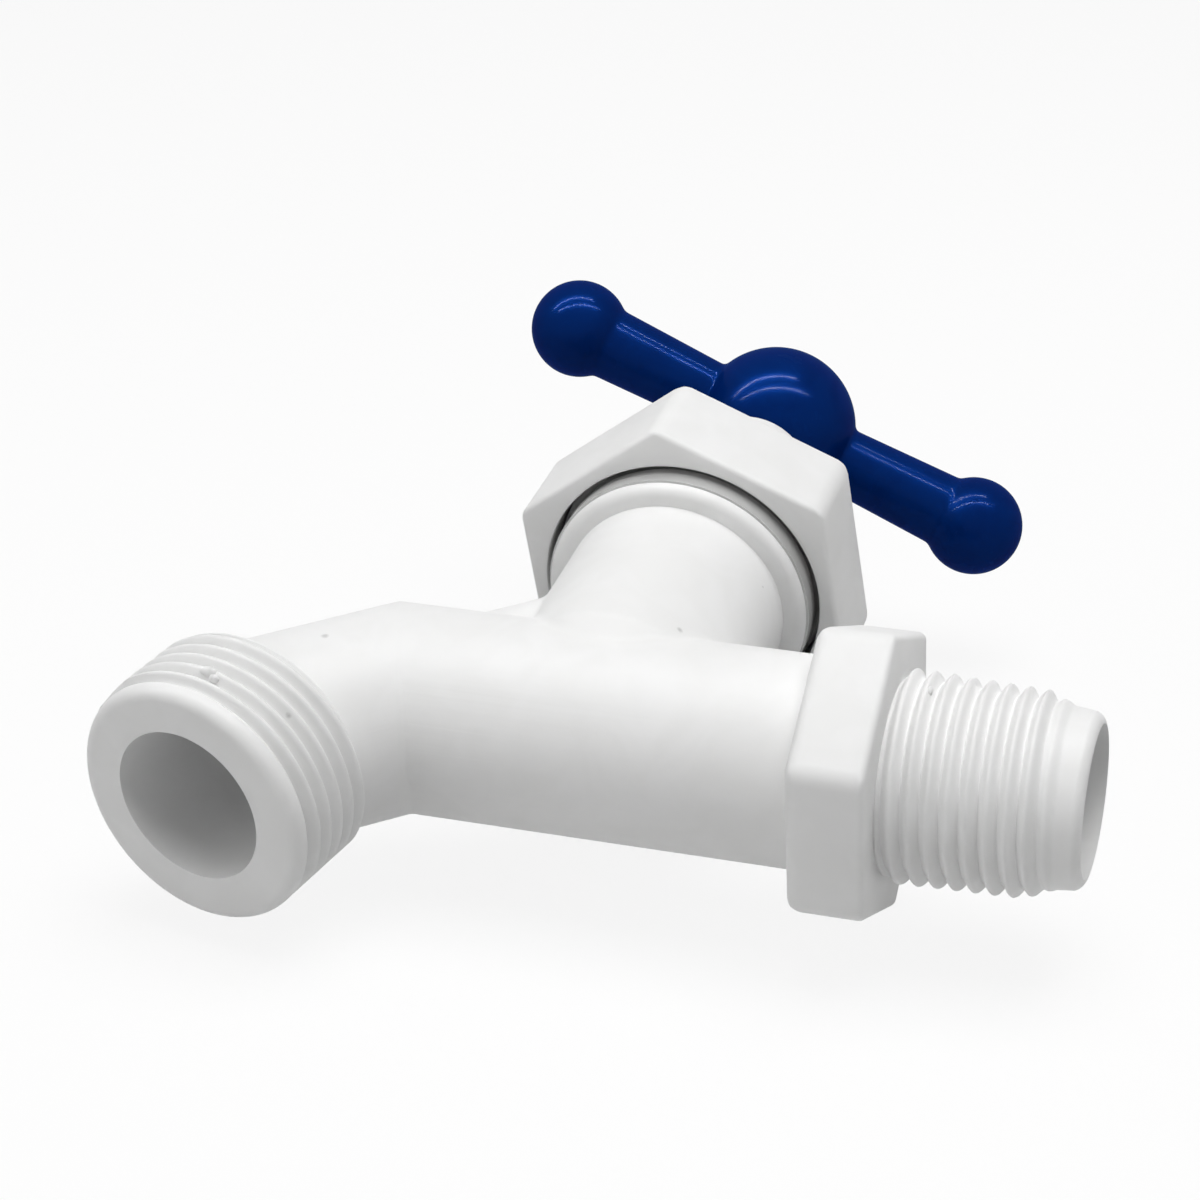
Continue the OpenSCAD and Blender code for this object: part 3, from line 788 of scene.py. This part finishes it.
def makePlastic(name, light, dark, speckAndShadeColour, roughness, gloss, bumpDeep, grain=4200.0, flow=160.0, extra=None):
    # light and dark are the two tones that the flow waves drift between; the speck colour also paints the
    # shade on the collar under the cap nut, and is None without specks
    material, tree, shader, place = newMaterial(name)
    skin = useGroup(tree, mouldedSkin, place, Grain=grain, Flow=flow)
    wear = useGroup(tree, handling, place)
    tone = mapRange(tree, skin.outputs["Waves"], 0.35, 0.65, 0.0, 1.0)
    colour = mixColours(tree, tone, dark + (1.0,), light + (1.0,))
    if speckAndShadeColour:
        # the specks, and the painted shade on the collar under the cap nut, take the speck colour here
        mask = useGroup(tree, speckAndShadeGroup, place).outputs["SpeckAndShade"]
        colour = mixColours(tree, mask, colour, speckAndShadeColour + (1.0,))
    tree.links.new(colour, shader.inputs["Base Color"])
    smear = mapRange(tree, wear.outputs["Smear"], 0.0, 1.0, roughness[0], roughness[1])
    rough = mathNode(tree, "ADD", smear, mathNode(tree, "MULTIPLY", wear.outputs["Scratch"], 0.08))
    tree.links.new(rough, shader.inputs["Roughness"])
    shader.inputs["Specular IOR Level"].default_value = gloss
    for key, value in (extra or {}).items():
        shader.inputs[key].default_value = value
    setBump(tree, shader, skin.outputs["Height"], 0.5, bumpDeep)
    return material


def makeRubber(name):
    material, tree, shader, place = newMaterial(name)
    skin = useGroup(tree, mouldedSkin, place, Grain=6500.0, Flow=300.0)
    wear = useGroup(tree, handling, place, Patches=260.0)
    dusty = mathNode(tree, "MULTIPLY", wear.outputs["Smear"], 0.5)
    colour = mixColours(tree, dusty, (0.012, 0.012, 0.013, 1.0), (0.05, 0.048, 0.045, 1.0))
    tree.links.new(colour, shader.inputs["Base Color"])
    tree.links.new(mapRange(tree, skin.outputs["Waves"], 0.3, 0.7, 0.62, 0.8), shader.inputs["Roughness"])
    setBump(tree, shader, skin.outputs["Height"], 0.6, 0.04 * mm)
    return material


def makeMetal(name, bright, dull, roughness, rings):
    material, tree, shader, place = newMaterial(name)
    lathe = useGroup(tree, turningMarks, place, Rings=rings)
    wear = useGroup(tree, handling, place, Scratches=1800.0)
    colour = mixColours(tree, lathe.outputs["Tone"], bright + (1.0,), dull + (1.0,))
    tree.links.new(colour, shader.inputs["Base Color"])
    base = mapRange(tree, lathe.outputs["Tone"], 0.0, 1.0, roughness[0], roughness[1])
    rough = mathNode(tree, "ADD", base, mathNode(tree, "MULTIPLY", wear.outputs["Scratch"], 0.12))
    tree.links.new(rough, shader.inputs["Roughness"])
    shader.inputs["Metallic"].default_value = 1.0
    setBump(tree, shader, lathe.outputs["Height"], 0.35, 0.015 * mm)
    return material


# the speck colour here also paints the shade on the collar under the cap nut
whitePlastic = makePlastic(
    "whitePlastic", light=(0.87, 0.87, 0.868), dark=(0.845, 0.845, 0.84), speckAndShadeColour=(0.41, 0.41, 0.405),
    roughness=(0.46, 0.56), gloss=0.12, bumpDeep=0.03 * mm)
bluePlastic = makePlastic(
    "bluePlastic", light=(0.0004, 0.0185, 0.128), dark=(0.0003, 0.015, 0.11), speckAndShadeColour=None,
    roughness=(0.22, 0.32), gloss=0, bumpDeep=0.012 * mm,
    extra={"Metallic": 0.1, "Specular Tint": (0.0, 0.4, 1.0, 1.0),
           "Coat Weight": 0.035, "Coat Roughness": 0.1})
stemPlastic = makePlastic(
    "stemPlastic", light=(0.8, 0.79, 0.76), dark=(0.75, 0.74, 0.7), speckAndShadeColour=None,
    roughness=(0.46, 0.58), gloss=0.4, bumpDeep=0.05 * mm, grain=3000.0)
blackRubber = makeRubber("blackRubber")
brass = makeMetal(
    "brass", bright=(0.78, 0.56, 0.26), dull=(0.55, 0.36, 0.15), roughness=(0.2, 0.36), rings=2600.0)
steel = makeMetal(
    "steel", bright=(0.62, 0.63, 0.65), dull=(0.46, 0.46, 0.47), roughness=(0.3, 0.44), rings=3200.0)

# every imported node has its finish, the replaced ones too
finishes = {
    "bonnet_gasket": blackRubber, "stem_seals": blackRubber, "seat_washer": blackRubber,
    "gland_bush": stemPlastic, "stem": stemPlastic, "valve_disc": stemPlastic, "washer_screw": brass,
    "faucet_body": whitePlastic, "cap_nut": whitePlastic, "bonnet": whitePlastic,
    "handle": bluePlastic, "handle_screw": steel,
}


def dress(piece, material):
    if not piece.material_slots:
        piece.data.materials.append(material)
    for slot in piece.material_slots:
        slot.material = material


for node, finish in finishes.items():
    dress(cad[node], finish)
for piece, finish in ((body, whitePlastic), (capNut, whitePlastic), (bonnet, whitePlastic),
                      (tapHandle, bluePlastic), (handleScrew, steel)):
    dress(piece, finish)
print("finishes", len(bpy.data.materials))


# camera as in the photograph

cameraPlace = {
    "at": Vector((-54.1, 164.5, -235.7)) * mm,
    "right": Vector((-0.9511, -0.0466, 0.3053)),
    "up": Vector((0.1187, 0.8574, 0.5007)),
    "lens": 91.66, "sensor": 36,
}


def cameraAxes():
    right = cameraPlace["right"].normalized()
    back = right.cross(cameraPlace["up"]).normalized()
    return right, back.cross(right), back


def addCamera():
    c = cameraPlace
    lens = bpy.data.cameras.new("camera")
    lens.lens = c["lens"]
    lens.sensor_width = c["sensor"]
    lens.clip_start, lens.clip_end = 0.01, 10
    camera = bpy.data.objects.new("camera", lens)
    bpy.context.scene.collection.objects.link(camera)
    camera.matrix_world = Matrix.Translation(c["at"]) @ Matrix(cameraAxes()).transposed().to_4x4()
    bpy.context.scene.camera = camera
    return camera


addCamera()


# light and floor

def addSoftLight(name, place, aim, along, size, power):
    # along is the direction of the lamp's long side
    lamp = bpy.data.lights.new(name, "AREA")
    lamp.shape = "RECTANGLE"
    lamp.size, lamp.size_y = size
    lamp.energy = power
    light = bpy.data.objects.new(name, lamp)
    away = (place - aim).normalized()
    across = away.cross(along).normalized()
    turn = Matrix((across.cross(away), across, away)).transposed().to_4x4()
    light.matrix_world = Matrix.Translation(place) @ turn
    bpy.context.scene.collection.objects.link(light)
    return light


# the tap lies on its side, and the floor is low enough for the handle to turn above it
lightShape = {
    "floorNormal": Vector((0, 0.991, 0.134)).normalized(), "floorDrop": 19.2 * mm, "floorWide": 2.4,
    "floorPaper": (0.62, 0.62, 0.62, 1.0), "floorPale": (0.9, 0.9, 0.9, 1.0), "floorGlow": 0.88,
    "overhead": 3.85, "overheadSize": (0.5, 0.5), "overheadHigh": 0.6, "overheadShift": (0.07, 0.1),
    "side": 0.75, "sideSize": (0.4, 0.4), "sideAway": 0.7, "sideWay": (-0.86, 0.1, 0.5),
    "stripPower": 3.6, "stripHigh": 0.5, "stripWide": 0.016,
    "strips": (("stripFar", -1.15, 0.6, 0.24), ("stripNear", -1.25, 1.1, 0.66)),  # from, to, behind
    "skySoft": 0.19, "skySeen": 1.0,
}
middle = Vector((30, 0, 40)) * mm


def makeLights():
    s = lightShape
    right, level, back = cameraAxes()
    aside, forward = s["overheadShift"]
    place = middle + s["floorNormal"] * s["overheadHigh"] + right * aside + back * forward
    overhead = addSoftLight("overhead", place, middle, right, s["overheadSize"], s["overhead"])
    overhead.visible_glossy = False
    x, y, z = s["sideWay"]
    place = middle + (right * x + level * y + back * z) * s["sideAway"]
    side = addSoftLight("side", place, middle, level, s["sideSize"], s["side"])
    side.visible_glossy = False
    # two strip lamps draw the thin double arcs on the handle's balls
    high = s["stripHigh"]
    for name, fromX, toX, behind in s["strips"]:
        place = middle + (right * (fromX + toX) / 2 + level + back * behind) * high
        size = ((toX - fromX) * high, s["stripWide"])
        strip = addSoftLight(name, place, middle, right, size, s["stripPower"] * (toX - fromX))
        strip.visible_diffuse = False


def seenDirectly(tree):
    # 1 for rays from the camera, from a reflection or through something clear
    rays = tree.nodes.new("ShaderNodeLightPath")
    bounced = mathNode(tree, "MAXIMUM", rays.outputs["Is Glossy Ray"], rays.outputs["Is Transmission Ray"])
    return mathNode(tree, "MAXIMUM", rays.outputs["Is Camera Ray"], bounced)


def mixShaders(tree, share, first, second):
    mix = tree.nodes.new("ShaderNodeMixShader")
    for socket, source in zip(mix.inputs, (share, first.outputs[0], second.outputs[0])):
        tree.links.new(source, socket)
    return mix


def makeFloor():
    # pale, seen nearly white with a faint shadow, and open to a view from behind
    s = lightShape
    bpy.ops.mesh.primitive_grid_add(x_subdivisions=8, y_subdivisions=8, size=s["floorWide"])
    floor = renamed("floor")
    drop = s["floorDrop"] + middle.dot(s["floorNormal"])
    placed(floor, middle - s["floorNormal"] * drop, s["floorNormal"])
    material = bpy.data.materials.new("paleFloor")
    material.use_nodes = True
    tree = material.node_tree
    tree.nodes.clear()
    end = tree.nodes.new("ShaderNodeOutputMaterial")
    paper = addNode(tree, "ShaderNodeBsdfDiffuse", values={"Color": s["floorPaper"]})
    pale = addNode(tree, "ShaderNodeBsdfDiffuse", values={"Color": s["floorPale"]})
    glow = addNode(tree, "ShaderNodeEmission", values={"Color": (1, 1, 1, 1), "Strength": 1.0})
    seen = addNode(tree, "ShaderNodeMixShader", values={0: s["floorGlow"]})
    tree.links.new(pale.outputs[0], seen.inputs[1])
    tree.links.new(glow.outputs[0], seen.inputs[2])
    surface = mixShaders(tree, seenDirectly(tree), paper, seen)
    # from behind the floor lets everything through
    side = tree.nodes.new("ShaderNodeNewGeometry")
    clear = tree.nodes.new("ShaderNodeBsdfTransparent")
    either = mixShaders(tree, side.outputs["Backfacing"], surface, clear)
    tree.links.new(either.outputs[0], end.inputs["Surface"])
    dress(floor, material)
    return floor


def makeSky():
    # white where the camera or a reflection sees it, softer as light
    s = lightShape
    world = bpy.data.worlds.new("studio")
    bpy.context.scene.world = world
    world.use_nodes = True
    tree = world.node_tree
    tree.nodes.clear()
    end = tree.nodes.new("ShaderNodeOutputWorld")
    soft = addNode(tree, "ShaderNodeBackground", values={"Color": (1, 1, 1, 1), "Strength": s["skySoft"]})
    white = addNode(tree, "ShaderNodeBackground", values={"Color": (1, 1, 1, 1), "Strength": s["skySeen"]})
    either = mixShaders(tree, seenDirectly(tree), soft, white)
    tree.links.new(either.outputs[0], end.inputs["Surface"])


makeLights()
makeFloor()
makeSky()
print("lights, floor and sky")

bpy.context.scene.view_settings.view_transform = "Standard"
